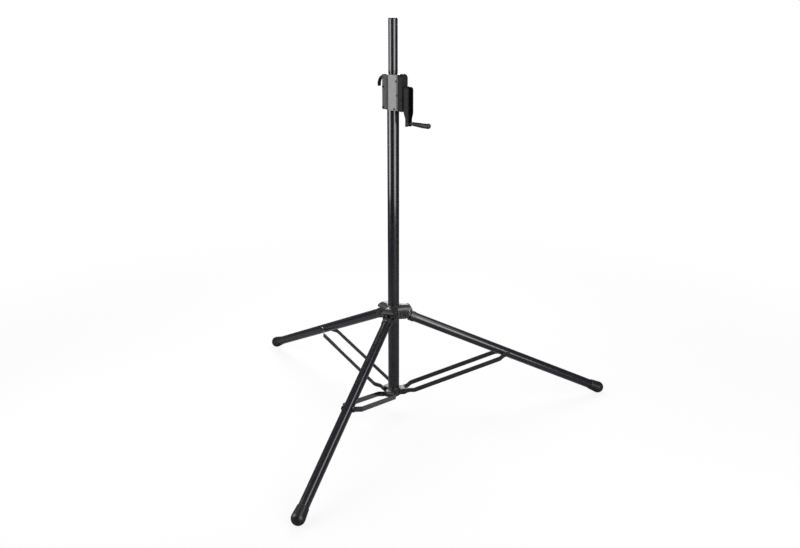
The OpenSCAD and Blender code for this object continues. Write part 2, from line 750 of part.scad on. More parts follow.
// Lock lever: an eccentric eye on the flange and a hook that curls down behind it
module lock_lever() {
  half = lever_w / 2;
  hook_x = -flange_reach + hook_inset;
  hook_z = lever_z + lever_eye - lever_r;
  middle_r = lever_r - lever_t / 2;
  color("#1a1b1d") on_mast() difference() {
    union() {
      for (x = [lever_x, lever_x + cam_lift]) translate([x, 0, lever_z]) bar_y(lever_eye, -half, half);
      intersection() {
        translate([hook_x, 0, hook_z]) difference() {
          bar_y(lever_r, -half, half);
          bar_y(lever_r - lever_t, -lever_w, lever_w);
        }
        translate([lever_x - 2 * lever_r, -lever_w, hook_z - lever_tail])
          cube([2 * lever_r, 2 * lever_w, 2 * lever_r]);
      }
      translate([hook_x - sqrt(middle_r * middle_r - lever_tail * lever_tail), 0, hook_z - lever_tail])
        bar_y(lever_t / 2 - lever_tip_step, -half, half);
    }
    translate([lever_x, 0, lever_z]) bar_y(lever_pin_r + running, -lever_w, lever_w);
  }
}
module brake_plunger() {
  color("#b08d4c") on_mast() translate([0, 0, lever_z])
    bar_x(plunger_r, lever_x + lever_eye + cam_lift + passing, -mast_r - passing);
}

// Leg hub: a sliding sleeve with three hoods, each a vault with a round nose over the top of its leg
module hood_side(wall) {
  nose_z = sleeve_top - hood_nose_r;
  translate([0, hood_floor]) square([hood_nose_x, sleeve_top - wall - hood_floor]);
  translate([0, hood_floor]) square([hood_nose_x + hood_nose_r - wall, nose_z - hood_floor]);
  translate([hood_nose_x, nose_z]) circle(r = hood_nose_r - wall);
}
module hood_vault(half) {
  rotate([90, 0, 90]) linear_extrude(hood_far) {
    translate([0, vault_z]) circle(r = half);
    translate([-half, hood_floor]) square([2 * half, vault_z - hood_floor]);
  }
}
module hood_shell() {
  difference() {
    intersection() {
      across(hood_out) intersection() {
        hood_side(0);
        union() {
          translate([0, vault_z]) square([hood_far, 2 * hood_out]);
          translate([0, pivot_z - cheek_r]) square([pivot_r, vault_z - pivot_z + cheek_r]);
          translate([pivot_r, pivot_z]) circle(r = cheek_r);
        }
      }
      hood_vault(hood_out);
      translate([pivot_r, 0, pivot_z]) rotate([0, leg_slope, 0])
        translate([-hood_far, -hood_far, -hood_far]) cube([hood_far + hood_end, 2 * hood_far, 2 * hood_far]);
    }
    intersection() {
      across(hood_in) hood_side(hood_wall);
      hood_vault(hood_in);
    }
  }
}
module leg_hub() {
  color("#1a1b1d") difference() {
    union() {
      for (azimuth = azimuths) toward(azimuth) hood_shell();
      for (azimuth = azimuths, side = [-1, 1]) leg_line(azimuth) translate([0, side * hood_out, 0])
        bar_y(cheek_r, -cheek_boss, cheek_boss);
      on_mast() translate([0, 0, sleeve_bottom]) cylinder(r = sleeve_r, h = sleeve_top - sleeve_bottom);
      on_mast() translate([0, 0, sleeve_top - sleeve_rim_h])
        cylinder(r = sleeve_r + sleeve_rim, h = sleeve_rim_h);
      toward(clamp_azimuth) translate([0, 0, clamp_z]) bar_x(clamp_boss_r, 0, clamp_boss_reach);
    }
    for (azimuth = azimuths) leg_line(azimuth) bar_y(pivot_bolt_r + seat, -2 * hood_out, 2 * hood_out);
    for (azimuth = azimuths, side = [-1, 1]) leg_line(azimuth)
      translate([0, side * (hood_out + cheek_boss), 0]) bar_y(cheek_recess_r, -cheek_boss, cheek_boss);
    on_mast() translate([0, 0, sleeve_bottom - over]) cylinder(r = sleeve_in + seat, h = hood_far);
    toward(clamp_azimuth) translate([0, 0, clamp_z]) bar_x(clamp_screw_r + running, 0, 2 * clamp_boss_reach);
  }
}
module hub_bush() {
  color("#0d0d0d") difference() {
    on_mast() tube(sleeve_in, column_r + running, sleeve_bottom, sleeve_top);
    toward(clamp_azimuth) translate([0, 0, clamp_z]) bar_x(clamp_screw_r + passing, 0, 2 * clamp_boss_reach);
  }
}
module leg_pivot_bolts() {
  color("#2a2b2e") for (azimuth = azimuths) leg_line(azimuth) {
    bar_y(pivot_bolt_r, -hood_out - pivot_bolt_head_h / 2, hood_out + pivot_bolt_head_h / 2);
    for (side = [-1, 1]) translate([0, side * (hood_out + pivot_bolt_head_h / 2), 0])
      bar_y(pivot_bolt_r + pivot_bolt_head, -pivot_bolt_head_h / 2, pivot_bolt_head_h / 2);
  }
}
module clamp_knob() {
  start = clamp_boss_reach + knob_gap;
  color("#101010") toward(clamp_azimuth) translate([start, 0, clamp_z]) rotate([0, 90, 0])
    difference() {
      cylinder(r = knob_r, h = knob_h);
      for (i = [0 : knob_lobes - 1]) rotate([0, 0, i * 360 / knob_lobes])
        translate([knob_r + knob_scallop_out, 0, -over]) cylinder(r = knob_scallop_r, h = knob_h + 2 * over);
      translate([0, 0, -over]) cylinder(r = clamp_screw_r + seat, h = knob_h - knob_end_wall + over + seat);
    }
}
module clamp_screw() {
  color("#6d6f72") toward(clamp_azimuth) translate([0, 0, clamp_z])
    bar_x(clamp_screw_r, column_r + passing, clamp_boss_reach + knob_gap + knob_h - knob_end_wall);
}

// Legs
module leg_tube(azimuth) {
  color("#17181a") leg_line(azimuth) rotate([0, 90, 0]) tube(leg_r, leg_r - leg_wall, leg_start, leg_end);
}
module leg_knuckle(azimuth) {
  half = hood_in - passing;
  color("#1a1b1d") leg_line(azimuth) difference() {
    union() {
      bar_y(knuckle_r, -half, half);
      bar_x(knuckle_r - knuckle_step, 0, leg_start);
      bar_x(leg_r + knuckle_wall, leg_start - knuckle_shoulder, leg_start + knuckle_lap);
    }
    bar_y(pivot_bolt_r + running, -2 * half, 2 * half);
    rotate([0, 90, 0]) tube(leg_r + seat, leg_r - leg_wall - seat, leg_start, leg_start + 2 * knuckle_lap);
  }
}
module foot_cap(azimuth) {
  lip = leg_length + foot_r - foot_length;
  mouth = leg_r + foot_wall;
  color("#0d0d0d") difference() {
    leg_line(azimuth) difference() {
      union() {
        translate([leg_length, 0, 0]) ball_x(foot_r, -90);
        rotate([0, 90, 0]) rotate_extrude() polygon([
          [0, lip], [mouth - foot_bevel, lip], [mouth, lip + foot_bevel], [foot_r, leg_length],
          [0, leg_length]]);
      }
      bar_x(leg_r + seat, lip - over, leg_end + seat);
    }
    toward(azimuth) translate([foot_reach - foot_d, -foot_d, -foot_d]) cube([2 * foot_d, 2 * foot_d, foot_d]);
  }
}

// Braces: two flat bars that bow apart between the collar and the leg
function bow_at(x) =
  let (start = brace_flat, stop = brace_length - brace_flat)
  let (rise = min(max((x - start) / brace_ramp, 0), 1), fall = min(max((stop - x) / brace_ramp, 0), 1))
  brace_bow * (1 - cos(180 * min(rise, fall))) / 2;
brace_steps = 10;
brace_stations = concat(
  [-brace_w], [for (i = [0 : brace_steps]) brace_flat + brace_ramp * i / brace_steps],
  [for (i = [0 : brace_steps]) brace_length - brace_flat - brace_ramp * (1 - i / brace_steps)],
  [brace_length + brace_w]);
module bar_plan() {
  stations = len(brace_stations);
  polygon(concat(
    [for (x = brace_stations) [x, brace_in + bow_at(x)]],
    [for (i = [stations - 1 : -1 : 0]) [brace_stations[i], brace_in + brace_t + bow_at(brace_stations[i])]]));
}
module bar_outline() {
  for (x = [0, brace_length]) translate([x, 0]) circle(r = brace_w / 2);
  translate([0, -brace_w / 2]) square([brace_length, brace_w]);
}
module brace_bars(azimuth) {
  color("#1d1e20") brace_line(azimuth) for (side = [0, 1]) mirror([0, side, 0]) difference() {
    intersection() {
      translate([0, 0, -brace_w]) linear_extrude(2 * brace_w) bar_plan();
      across(4 * brace_bow + 2 * leg_r) bar_outline();
    }
    bar_y(brace_pin_r + running, 0, 4 * leg_r);
    translate([brace_length, 0, 0]) bar_y(brace_pin_r + seat, 0, 4 * leg_r);
  }
}
module brace_rivets(azimuth) {
  outer = brace_in + brace_t;
  color("#2a2b2e") brace_line(azimuth) translate([brace_length, 0, 0])
    for (side = [0, 1]) mirror([0, side, 0]) {
      bar_y(brace_pin_r, brace_in, outer + pivot_head_h / 2);
      bar_y(pivot_head_r, outer, outer + pivot_head_h);
    }
}

main_tube();
tube_end_plug();
lower_collar();
collar_pivot_bolts();
head_housing();
flange_bolts();
housing_screws();
bearing_plate();
gearbox_cover();
cover_screws();
top_bush();
shaft_bush();
drum_axle();
pulley_axle();
lever_pin();
lift_cable();
cable_lead();
mast_tube();
mast_cap();
mast_plug();
seat_ring();
stop_screw();
cable_ferrule();
cable_drum();
drum_gear();
drum_winding();
cable_pulley();
crank_shaft();
drive_pinion();
crank_arm();
crank_screw();
grip_pin();
grip_spindle();
grip_sleeve();
grip_end_cap();
lock_lever();
brake_plunger();
leg_hub();
hub_bush();
leg_pivot_bolts();
clamp_knob();
clamp_screw();
for (i = [0 : len(sides) - 1]) {
  leg_tube(azimuths[i]);
  leg_knuckle(azimuths[i]);
  foot_cap(azimuths[i]);
  brace_bars(azimuths[i]);
  brace_rivets(azimuths[i]);
}
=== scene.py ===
# %% [markdown]
# # A wind-up lighting stand, dressed for its portrait
# The solids of this stand already exist at their real size: tubes, a geared head with a crank, and a
# folding tripod. This lesson loads them, sets up a small white studio, paints every surface with a node
# material, and replaces the plain fasteners, castings and rubber parts with meshes that are modelled by
# hand.

# %% Load the solids
import json
import math

import bpy
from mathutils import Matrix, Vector


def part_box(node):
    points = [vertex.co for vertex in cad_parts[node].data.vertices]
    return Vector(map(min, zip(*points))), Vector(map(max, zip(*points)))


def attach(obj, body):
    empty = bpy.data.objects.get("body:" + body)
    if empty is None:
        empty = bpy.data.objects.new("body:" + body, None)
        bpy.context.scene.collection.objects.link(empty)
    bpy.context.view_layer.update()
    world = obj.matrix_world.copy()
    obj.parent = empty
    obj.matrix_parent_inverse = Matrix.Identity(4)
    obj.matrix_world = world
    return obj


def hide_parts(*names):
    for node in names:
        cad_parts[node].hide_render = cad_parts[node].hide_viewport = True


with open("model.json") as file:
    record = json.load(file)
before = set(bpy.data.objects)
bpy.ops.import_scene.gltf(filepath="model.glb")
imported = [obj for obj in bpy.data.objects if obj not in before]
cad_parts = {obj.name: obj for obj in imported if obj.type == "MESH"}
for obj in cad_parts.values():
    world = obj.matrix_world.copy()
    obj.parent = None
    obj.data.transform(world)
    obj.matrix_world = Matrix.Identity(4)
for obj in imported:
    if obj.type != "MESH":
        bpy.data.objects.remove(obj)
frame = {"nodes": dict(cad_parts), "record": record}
bpy.ops.object.select_all(action="DESELECT")
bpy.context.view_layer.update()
solids = frame["nodes"]
record = frame["record"]
bodies = record["behaviour"]["bodies"]
body_of = {node: body for body, members in bodies.items() for node in members}
slot_of = {part["node"]: part["material_slot"] for part in record["subparts"]}
SIDES = ("left", "right", "rear")
MM = 0.001

# %% [markdown]
# ## The camera
# The portrait was taken from the front right, a little above the top of the mast, with the mast upright
# near the middle of the frame. A camera could be moved by eye until the picture fits. Here its place,
# heading and dip were worked out from the edges of the tubes and the feet, so they are written as
# numbers. A lens of 39 mm on a 36 mm sensor gives the same spread between the near foot and the far one.

# %% Camera
CAMERA_PLACE = (2.7344, -2.0921, 1.6049)
CAMERA_HEADING = math.radians(49.74)
CAMERA_DIP = math.radians(17.32)
LENS_MM = 38.82
SENSOR_MM = 36

camera_turn = (math.pi / 2 - CAMERA_DIP, 0, CAMERA_HEADING)
bpy.ops.object.camera_add(location=CAMERA_PLACE, rotation=camera_turn)
camera = bpy.context.object
camera.name = "portrait_camera"
camera.data.lens = LENS_MM
camera.data.sensor_width = SENSOR_MM
bpy.context.scene.camera = camera
print("camera at", CAMERA_PLACE)

# %% [markdown]
# ## The white room
# Black gloss paint shows almost nothing of its own: what the eye reads as shape is what the paint
# mirrors. The camera sees a white room. In the gloss of the paint the room is white behind the stand,
# above the floor line, and dim elsewhere, so the tubes stay black between the stripes that the lamps
# draw. Big cards round the stand could do the same. The world's shader is chosen because it needs no mesh
# and lights the stand from all round. Three small helpers come first, because the floor and the finishes
# are built from nodes as well.

# %% Helpers for node trees


def add_node(tree, kind, sockets=None, **settings):
    """A new node, with its settings, such as operation, and the plain values of its sockets."""
    node = tree.nodes.new("ShaderNode" + kind)
    for setting, value in settings.items():
        setattr(node, setting, value)
    for socket, value in (sockets or {}).items():
        node.inputs[socket].default_value = value
    return node


def wire(tree, source, result, target, socket):
    """Join one node's result to another node's socket."""
    tree.links.new(source.outputs[result], target.inputs[socket])


def seen_directly(tree, light_path):
    """1 for what the camera sees, straight or through something clear, and 0 for every other ray."""
    seen = add_node(tree, "Math", operation="MAXIMUM")
    wire(tree, light_path, "Is Camera Ray", seen, 0)
    wire(tree, light_path, "Is Transmission Ray", seen, 1)
    return seen


# %% World: white where the camera looks, dim elsewhere
WHITE = (1, 1, 1, 1)
DIM_ROOM = (0.16, 0.16, 0.18, 1)
ROOM_LIGHT = 0.6
BACK_RISE = math.radians(22)
BACKDROP_EDGE = 0.88
BACKDROP_FULL = 0.97

scene = bpy.context.scene
scene.view_settings.view_transform = "Standard"
world = bpy.data.worlds.new("white_studio")
scene.world = world
world.use_nodes = True
tree = world.node_tree
tree.nodes.clear()
light_path = add_node(tree, "LightPath")
seen = seen_directly(tree, light_path)

level = math.cos(BACK_RISE)
straight_back = (-math.sin(CAMERA_HEADING) * level, math.cos(CAMERA_HEADING) * level, math.sin(BACK_RISE))
direction = add_node(tree, "TexCoord")
behind = add_node(tree, "VectorMath", {1: straight_back}, operation="DOT_PRODUCT")
wire(tree, direction, "Generated", behind, 0)
backdrop = add_node(tree, "MapRange", {"From Min": BACKDROP_EDGE, "From Max": BACKDROP_FULL},
                    interpolation_type="SMOOTHSTEP")
wire(tree, behind, "Value", backdrop, "Value")
mirrored = add_node(tree, "Math", operation="MULTIPLY")
wire(tree, backdrop, "Result", mirrored, 0)
wire(tree, light_path, "Is Glossy Ray", mirrored, 1)
white_share = add_node(tree, "Math", operation="MAXIMUM")
wire(tree, seen, 0, white_share, 0)
wire(tree, mirrored, 0, white_share, 1)

dim = add_node(tree, "Background", {"Color": DIM_ROOM, "Strength": ROOM_LIGHT})
white = add_node(tree, "Background", {"Color": WHITE, "Strength": 1})
room = add_node(tree, "MixShader")
wire(tree, white_share, 0, room, "Fac")
wire(tree, dim, 0, room, 1)
wire(tree, white, 0, room, 2)
wire(tree, room, 0, add_node(tree, "OutputWorld"), "Surface")
print("room light", ROOM_LIGHT)

# %% [markdown]
# ## Soft boxes
# Two soft boxes stand left and right of the camera and draw the two pale stripes down the upper tubes.
# They end above the floor, so the stripes fade toward the base. One more hangs behind for the tops of the
# castings, and a small one high on the right draws the line along the front leg. Area lamps are chosen
# over small lamps because the shape of the lamp is what the gloss shows. Each lamp's power follows from
# its brightness and its area, so a lamp can be made wider without making its stripe any brighter.

# %% Soft boxes
mast_low, mast_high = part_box("mast_tube")
MAST = Vector(((mast_low.x + mast_high.x) / 2, (mast_low.y + mast_high.y) / 2, 0))
TOWARD_CAMERA = CAMERA_HEADING - math.pi / 2


def soft_box(name, turn, distance, height, width, tall, radiance, aim_height):
    """A lamp at an angle left (negative) or right of the camera, aimed at a height on the mast."""
    angle = TOWARD_CAMERA + math.radians(turn)
    spot = MAST + Vector((math.cos(angle) * distance, math.sin(angle) * distance, height))
    aim = MAST + Vector((0, 0, aim_height))
    bpy.ops.object.light_add(type="AREA", location=spot)
    lamp = bpy.context.object
    lamp.name = name
    lamp.rotation_euler = (aim - spot).to_track_quat("-Z", "Y").to_euler()
    lamp.data.shape = "RECTANGLE"
    lamp.data.size = width
    lamp.data.size_y = tall
    lamp.data.energy = radiance * math.pi * width * tall
    lamp.visible_camera = False


soft_box("left_soft_box", turn=-71, distance=1.7, height=1.25,
         width=1.3, tall=1.5, radiance=4.6, aim_height=1.0)
soft_box("right_soft_box", turn=36, distance=2.5, height=1.25,
         width=1.75, tall=2.0, radiance=4.6, aim_height=1.0)
soft_box("back_soft_box", turn=180, distance=1.8, height=2.1,
         width=2.0, tall=1.5, radiance=7.0, aim_height=0.5)
soft_box("high_soft_box", turn=65, distance=1.6, height=2.1,
         width=1.4, tall=0.9, radiance=2.6, aim_height=0.3)
print("four soft boxes round", [round(v, 3) for v in MAST])

# %% [markdown]
# ## The floor
# The floor is one big pale sheet. To the camera it is mostly plain white. Round the stand a share of its
# own matt shading is mixed in, so the feet sit in their soft shadow, and that share fades out before the
# floor's far edge. The gloss of the tubes shows a darker sheet, or their rims would melt into the white.

# %% Floor
FLOOR_HALF = 14.0
FLOOR_CELLS = 8
PAPER = 0.8
PAPER_IN_GLOSS = 0.2
SHADOW_SHARE = 0.14
SHADOW_NEAR = 0.5
SHADOW_FAR = 3.2

bpy.ops.mesh.primitive_grid_add(x_subdivisions=FLOOR_CELLS, y_subdivisions=FLOOR_CELLS,
                                size=2 * FLOOR_HALF, location=(0, 0, 0))
floor = bpy.context.object
floor.name = "studio_floor"
paper = bpy.data.materials.new("white_paper")
paper.use_nodes = True
tree = paper.node_tree
tree.nodes.clear()
light_path = add_node(tree, "LightPath")
seen = seen_directly(tree, light_path)

matt = add_node(tree, "BsdfDiffuse")
glow = add_node(tree, "Emission", {"Color": WHITE, "Strength": 1})
paleness = add_node(tree, "MapRange", {"To Min": PAPER, "To Max": PAPER_IN_GLOSS})
wire(tree, light_path, "Is Glossy Ray", paleness, "Value")
wire(tree, paleness, "Result", matt, "Color")
spot = add_node(tree, "TexCoord")
from_mast = add_node(tree, "VectorMath", {1: MAST}, operation="DISTANCE")
wire(tree, spot, "Object", from_mast, 0)
plain_share = add_node(tree, "MapRange", {"From Min": SHADOW_NEAR, "From Max": SHADOW_FAR,
                                          "To Min": 1 - SHADOW_SHARE, "To Max": 1},
                       interpolation_type="SMOOTHSTEP")
wire(tree, from_mast, "Value", plain_share, "Value")
bright = add_node(tree, "Math", operation="MULTIPLY")
wire(tree, seen, 0, bright, 0)
wire(tree, plain_share, "Result", bright, 1)
surface = add_node(tree, "MixShader")
wire(tree, bright, 0, surface, "Fac")
wire(tree, matt, 0, surface, 1)
wire(tree, glow, 0, surface, 2)
wire(tree, surface, 0, add_node(tree, "OutputMaterial"), "Surface")
floor.data.materials.append(paper)
print("floor", 2 * FLOOR_HALF, "m wide")

# %% [markdown]
# ## Finishes
# Every finish is a Principled shader with three layers of noise: one varies the colour, one varies the
# gloss, and one is a bump. All of them read Object coordinates in metres, so a scale of 400 makes a grain
# of about 2.5 mm wherever the piece sits. A picture could be wrapped round each piece instead, but it
# would need unwrapping, and noise has no seams. Plain values stay on the shader's own sockets.

# %% Helpers for finishes
SHADE_FROM = 0.35
SHADE_TO = 0.65
GLOSS_FROM = 0.3
GLOSS_TO = 0.7


def shader_of(finish):
    """The shader that a finish ends in."""
    return finish.node_tree.nodes["Principled BSDF"]


def grain(finish, scale, detail=4.0, stretch=(1, 1, 1)):
    """A noise over Object coordinates, longer along an axis where its stretch is small."""
    tree = finish.node_tree
    spot = add_node(tree, "TexCoord")
    mapping = add_node(tree, "Mapping", {"Scale": stretch})
    noise = add_node(tree, "TexNoise", {"Scale": scale, "Detail": detail})
    wire(tree, spot, "Object", mapping, "Vector")
    wire(tree, mapping, "Vector", noise, "Vector")
    return noise


def vary_colour(finish, noise, dark, light):
    """The base colour runs between two shades."""
    tree = finish.node_tree
    ramp = add_node(tree, "ValToRGB")
    low, high = ramp.color_ramp.elements
    low.position = SHADE_FROM
    high.position = SHADE_TO
    low.color = (*dark, 1)
    high.color = (*light, 1)
    wire(tree, noise, "Fac", ramp, "Fac")
    wire(tree, ramp, "Color", shader_of(finish), "Base Color")


def vary_gloss(finish, noise, low, high):
    """The roughness runs between two values."""
    tree = finish.node_tree
    reach = add_node(tree, "MapRange", {"From Min": GLOSS_FROM, "From Max": GLOSS_TO,
                                        "To Min": low, "To Max": high})
    wire(tree, noise, "Fac", reach, "Value")
    wire(tree, reach, "Result", shader_of(finish), "Roughness")


def add_bump(finish, noise, height_mm):
    """A fine relief of that height."""
    tree = finish.node_tree
    bump = add_node(tree, "Bump", {"Strength": 1.0, "Distance": height_mm * MM})
    wire(tree, noise, "Fac", bump, "Height")
    wire(tree, bump, "Normal", shader_of(finish), "Normal")


# %% One function for every finish
finishes = {}


def make_finish(slot, name, colour, roughness, shade_grain, shades, gloss_grain, gloss, relief_grain,
                relief_mm, metallic=0.0, specular=0.5, coat=None):
    """A finish from its plain values, its three grains, and an optional clear coat (weight, roughness)."""
    finish = bpy.data.materials.new(name)
    finish.use_nodes = True
    shader = shader_of(finish)
    shader.inputs["Base Color"].default_value = (*colour, 1)
    shader.inputs["Roughness"].default_value = roughness
    shader.inputs["Metallic"].default_value = metallic
    shader.inputs["Specular IOR Level"].default_value = specular
    if coat:
        shader.inputs["Coat Weight"].default_value = coat[0]
        shader.inputs["Coat Roughness"].default_value = coat[1]
    vary_colour(finish, grain(finish, **shade_grain), *shades)
    vary_gloss(finish, grain(finish, **gloss_grain), *gloss)
    add_bump(finish, grain(finish, **relief_grain), relief_mm)
    finishes[slot] = finish
    print(name, "for", slot)


# %% [markdown]
# ### Gloss black paint on the tubes
# The mast, the column, the legs and the brace bars are steel with a baked gloss coat: nearly black with a
# hint of blue, an orange-peel ripple a few millimetres wide, and fine rub marks that run along the tube.
# One smooth black would look like plastic. A clear coat gives the sharp stripes, and the softer paint
# below it gives their halo.

# %% Gloss tube paint
UPRIGHT_RUBS = (1, 1, 0.12)
make_finish("black_tube", "gloss_tube_paint", (0.007, 0.007, 0.010), roughness=0.24, coat=(0.8, 0.10),
            shade_grain={"scale": 35}, shades=((0.005, 0.005, 0.008), (0.009, 0.009, 0.013)),
            gloss_grain={"scale": 60, "detail": 6, "stretch": UPRIGHT_RUBS}, gloss=(0.20, 0.27),
            relief_grain={"scale": 220, "detail": 2}, relief_mm=0.006)

# %% [markdown]
# ### Paint on the castings
# The hub, the collar and the leg knuckles have a satin coat over a slightly sandy surface, and the
# winding gear's cover, crank and lever are matter still. Both are a fine bump under a broad gloss. Two
# finishes are made because one level of gloss would leave either the hub too dull or the cover too
# bright.

# %% Satin and matt casting paint
SANDY = {"scale": 900, "detail": 5}
make_finish("black_casting", "satin_casting_paint", (0.009, 0.009, 0.010), roughness=0.42, coat=(0.8, 0.32),
            shade_grain={"scale": 90}, shades=((0.007, 0.007, 0.008), (0.012, 0.012, 0.013)),
            gloss_grain={"scale": 220, "detail": 6}, gloss=(0.36, 0.50),
            relief_grain=SANDY, relief_mm=0.05)
make_finish("matt_casting", "matt_casting_paint", (0.008, 0.008, 0.009), roughness=0.55, specular=0.22,
            shade_grain={"scale": 90}, shades=((0.006, 0.006, 0.007), (0.011, 0.011, 0.012)),
            gloss_grain={"scale": 220, "detail": 6}, gloss=(0.50, 0.64),
            relief_grain=SANDY, relief_mm=0.05)

# %% [markdown]
# ### The head
# The head housing is a dark grey casting, paler than the tubes, with a speckle a couple of millimetres
# wide. Bare metal would mirror the room too clearly, so it is a grey paint with a soft coat.

# %% Head casting
make_finish("head_metal", "head_casting", (0.040, 0.040, 0.042), roughness=0.36, coat=(0.7, 0.28),
            shade_grain={"scale": 420, "detail": 6}, shades=((0.026, 0.027, 0.027), (0.056, 0.056, 0.059)),
            gloss_grain={"scale": 500, "detail": 6}, gloss=(0.30, 0.42),
            relief_grain={"scale": 700, "detail": 5}, relief_mm=0.06)

# %% [markdown]
# ### Fasteners and working metal
# Screws are blackened steel with a little metal showing. Shafts and gears are turned steel, with tool
# marks drawn out along one axis. The cable is drawn wire, and the crank shaft's bush and the brake
# plunger are brass. Most of this is inside the head, but it is finished too, because the model can be
# taken apart.

# %% Blackened and turned steel, wire and brass
TOOL_MARKS = (1, 0.05, 1)
make_finish("dark_fastener", "blackened_steel", (0.012, 0.012, 0.013), roughness=0.36, metallic=0.2,
            shade_grain={"scale": 300}, shades=((0.008, 0.008, 0.009), (0.018, 0.018, 0.018)),
            gloss_grain={"scale": 500, "detail": 5}, gloss=(0.30, 0.48),
            relief_grain={"scale": 1400, "detail": 3}, relief_mm=0.02)
make_finish("bright_steel", "turned_steel", (0.42, 0.42, 0.43), roughness=0.30, metallic=1.0,
            shade_grain={"scale": 150}, shades=((0.36, 0.36, 0.37), (0.47, 0.47, 0.48)),
            gloss_grain={"scale": 900, "detail": 3, "stretch": TOOL_MARKS}, gloss=(0.22, 0.40),
            relief_grain={"scale": 1600, "detail": 2, "stretch": TOOL_MARKS}, relief_mm=0.01)
make_finish("steel_cable", "wire_rope", (0.30, 0.30, 0.31), roughness=0.42, metallic=1.0,
            shade_grain={"scale": 1500, "detail": 2}, shades=((0.12, 0.12, 0.12), (0.40, 0.40, 0.41)),
            gloss_grain={"scale": 700, "detail": 4}, gloss=(0.34, 0.52),
            relief_grain={"scale": 1800, "detail": 2}, relief_mm=0.10)
make_finish("brass", "worn_brass", (0.55, 0.40, 0.16), roughness=0.34, metallic=1.0,
            shade_grain={"scale": 260}, shades=((0.42, 0.29, 0.11), (0.60, 0.45, 0.20)),
            gloss_grain={"scale": 700, "detail": 4}, gloss=(0.26, 0.44),
            relief_grain={"scale": 1500, "detail": 2}, relief_mm=0.01)

# %% [markdown]
# ### Plastics and rubber
# End plugs, guide bushes and the clamp knob are moulded black plastic, the grip's sleeve is a little
# shinier from use, and the feet are black rubber. They differ from the paint in their gloss far more than
# in their colour, so each has its own range of roughness and a fine moulded relief.

# %% Plastics and rubber
make_finish("black_plastic", "moulded_black", (0.010, 0.010, 0.011), roughness=0.5,
            shade_grain={"scale": 120}, shades=((0.008, 0.008, 0.009), (0.013, 0.013, 0.014)),
            gloss_grain={"scale": 350, "detail": 5}, gloss=(0.42, 0.58),
            relief_grain={"scale": 1600, "detail": 4}, relief_mm=0.04)
make_finish("grip_plastic", "grip_plastic", (0.011, 0.011, 0.012), roughness=0.34,
            shade_grain={"scale": 160}, shades=((0.008, 0.008, 0.009), (0.015, 0.015, 0.017)),
            gloss_grain={"scale": 300, "detail": 5}, gloss=(0.28, 0.42),
            relief_grain={"scale": 1200, "detail": 3}, relief_mm=0.02)
make_finish("rubber", "foot_rubber", (0.009, 0.009, 0.009), roughness=0.34,
            shade_grain={"scale": 140}, shades=((0.007, 0.007, 0.007), (0.012, 0.012, 0.012)),
            gloss_grain={"scale": 260, "detail": 6}, gloss=(0.28, 0.42),
            relief_grain={"scale": 800, "detail": 5}, relief_mm=0.06)

# %% [markdown]
# ### Painting the solids
# Each solid's record names a slot, and the slot names a finish. The winding gear's castings are matter
# than those of the base, so three of them take the matt paint instead. Painting from the record is chosen
# over a list of pieces because no piece can then be forgotten.

# %% Give every solid its finish
MATT_NODES = ("gearbox_cover", "crank_arm", "lock_lever")
look_of = dict(slot_of)
look_of.update({node: "matt_casting" for node in MATT_NODES})


def paint(piece, look):
    """The piece shows one finish all over."""
    piece.data.materials.clear()
    piece.data.materials.append(finishes[look])


for node, solid in solids.items():
    paint(solid, look_of[node])
print("painted", len(solids), "solids with", len(finishes), "finishes")

# %% [markdown]
# ## Modelling by hand
# The solids have the right form, but a cast, pressed or moulded piece never has a knife edge: light
# catches a narrow rounding on every corner, and without it the metal looks like card. A copy of a solid
# is welded, its flats are joined, and a bevel that only takes corners sharper than 30 degrees rounds it.
# A corner that the bevel throws too far, as can happen where two faces meet almost flat, is put back on
# the solid.

# %% Helpers for modelling
CREASE = 38
EVEN_WEIGHT = 100
WELD_MM = 0.002
FLAT = math.radians(1)
SHARP = math.radians(30)
CORNER_STEPS = 3
PROUD_SHARE = 0.4


def only(piece):
    """Select this piece alone and make it the active one."""
    bpy.ops.object.select_all(action="DESELECT")
    piece.select_set(True)
    bpy.context.view_layer.objects.active = piece


def edit(piece):
    """Open a piece in edit mode with all of it selected."""
    only(piece)
    bpy.ops.object.mode_set(mode="EDIT")
    bpy.ops.mesh.select_all(action="SELECT")


def done():
    """Leave edit mode."""
    bpy.ops.object.mode_set(mode="OBJECT")


def apply(piece, modifier):
    """Make a modifier's result the piece's own mesh."""
    only(piece)
    bpy.ops.object.modifier_apply(modifier=modifier.name)


def smooth(piece, crease=CREASE):
    """Smooth shading with creases at larger angles, in which the large faces stay flat."""
    only(piece)
    bpy.ops.object.shade_smooth_by_angle(angle=math.radians(crease))
    even = piece.modifiers.new("even_shading", "WEIGHTED_NORMAL")
    even.weight = EVEN_WEIGHT
    even.keep_sharp = True
    apply(piece, even)


def welded_copy(node, name):
    """A new piece with a solid's mesh: its loose triangles welded and its flat faces joined."""
    piece = bpy.data.objects.new(name, solids[node].data.copy())
    scene.collection.objects.link(piece)
    only(piece)
    bpy.ops.mesh.customdata_custom_splitnormals_clear()
    edit(piece)
    bpy.ops.mesh.remove_doubles(threshold=WELD_MM * MM)
    bpy.ops.mesh.dissolve_limited(angle_limit=FLAT)
    done()
    return piece


def rounded(node, name, width):
    """A copy of a solid with every sharp corner rounded to a width in metres."""
    piece = welded_copy(node, name)
    corner = piece.modifiers.new("rounded_corners", "BEVEL")
    corner.width = width
    corner.segments = CORNER_STEPS
    corner.limit_method = "ANGLE"
    corner.angle_limit = SHARP
    corner.use_clamp_overlap = False
    apply(piece, corner)
    for point in piece.data.vertices:
        _, near, normal, _ = solids[node].closest_point_on_mesh(point.co)
        away = point.co - near
        if away.length > width or away.dot(normal) > PROUD_SHARE * width:
            point.co = near
    smooth(piece)
    return piece


